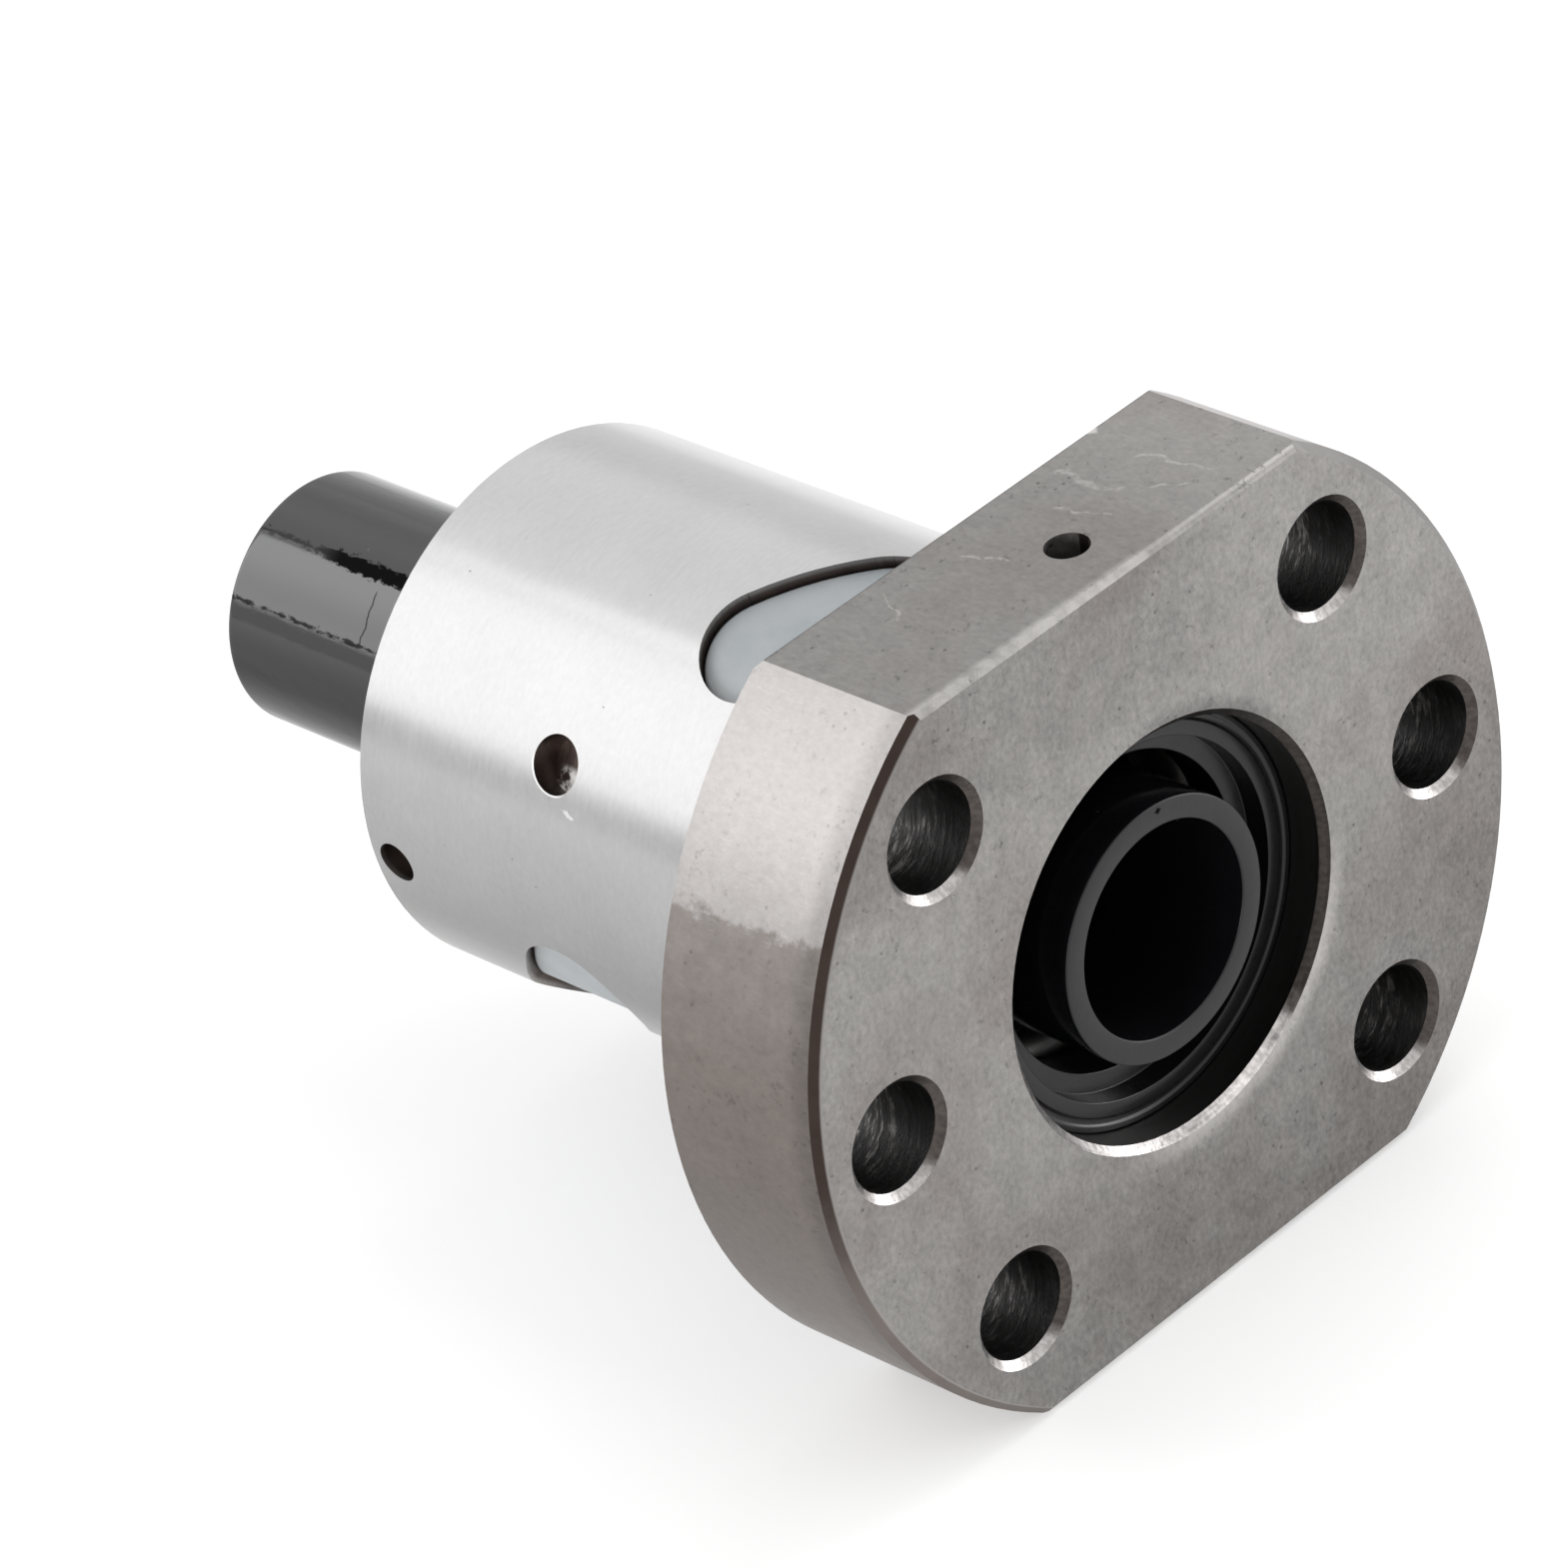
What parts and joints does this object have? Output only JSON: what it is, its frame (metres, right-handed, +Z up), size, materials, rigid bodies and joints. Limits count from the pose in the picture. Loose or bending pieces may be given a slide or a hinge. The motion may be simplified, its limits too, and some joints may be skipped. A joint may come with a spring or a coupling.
{
  "type": "ball screw nut",
  "caption": "Flanged ball screw nut with a two-flat bolt flange, round barrel, internal ball return, bore wipers and a transport sleeve that slides out of the bore.",
  "frame": {"origin": "the nut's axis on the flange's mounting face", "axes": "+X along the nut's axis out of the flange's front face, +Z square to the flange's two flats, +Y to the right seen with +X towards the viewer and +Z up"},
  "size_m": [0.0596, 0.048, 0.04],
  "materials": {
    "nut_steel": "hardened steel: ground barrel, blasted flange faces",
    "ball_steel": "polished bearing balls",
    "pin_steel": "plain steel pin",
    "deflector_plastic": "pale blue-grey moulded plastic",
    "wiper_plastic": "glossy black moulded plastic",
    "sleeve_plastic": "smooth charcoal plastic tube"
  },
  "bodies": {
    "nut": {"circuit_1_ball_01": "ball_steel", "circuit_1_ball_02": "ball_steel", "circuit_1_ball_03": "ball_steel", "circuit_1_ball_04": "ball_steel", "circuit_1_ball_05": "ball_steel", "circuit_1_ball_06": "ball_steel", "circuit_1_ball_07": "ball_steel", "circuit_1_ball_08": "ball_steel", "circuit_1_ball_09": "ball_steel", "circuit_1_ball_10": "ball_steel", "circuit_1_ball_11": "ball_steel", "circuit_1_ball_12": "ball_steel", "circuit_1_ball_13": "ball_steel", "circuit_1_ball_14": "ball_steel", "circuit_1_ball_15": "ball_steel", "circuit_1_ball_16": "ball_steel", "circuit_2_ball_01": "ball_steel", "circuit_2_ball_02": "ball_steel", "circuit_2_ball_03": "ball_steel", "circuit_2_ball_04": "ball_steel", "circuit_2_ball_05": "ball_steel", "circuit_2_ball_06": "ball_steel", "circuit_2_ball_07": "ball_steel", "circuit_2_ball_08": "ball_steel", "circuit_2_ball_09": "ball_steel", "circuit_2_ball_10": "ball_steel", "circuit_2_ball_11": "ball_steel", "circuit_2_ball_12": "ball_steel", "circuit_2_ball_13": "ball_steel", "circuit_2_ball_14": "ball_steel", "circuit_2_ball_15": "ball_steel", "circuit_2_ball_16": "ball_steel", "circuit_3_ball_01": "ball_steel", "circuit_3_ball_02": "ball_steel", "circuit_3_ball_03": "ball_steel", "circuit_3_ball_04": "ball_steel", "circuit_3_ball_05": "ball_steel", "circuit_3_ball_06": "ball_steel", "circuit_3_ball_07": "ball_steel", "circuit_3_ball_08": "ball_steel", "circuit_3_ball_09": "ball_steel", "circuit_3_ball_10": "ball_steel", "circuit_3_ball_11": "ball_steel", "circuit_3_ball_12": "ball_steel", "circuit_3_ball_13": "ball_steel", "circuit_3_ball_14": "ball_steel", "circuit_3_ball_15": "ball_steel", "circuit_3_ball_16": "ball_steel", "front_wiper": "wiper_plastic", "front_wiper_pin": "pin_steel", "nut_body": "nut_steel", "rear_wiper": "wiper_plastic", "rear_wiper_pin": "pin_steel", "return_deflector_1": "deflector_plastic", "return_deflector_2": "deflector_plastic", "return_deflector_3": "deflector_plastic"},
    "sleeve": {"transport_sleeve": "sleeve_plastic"}
  },
  "joints": [
    {"name": "sleeve_slide", "type": "slide", "parent": "nut", "child": "sleeve", "axis": [-1, 0, 0], "range_m": [-0.017, 0.04]}
  ]
}
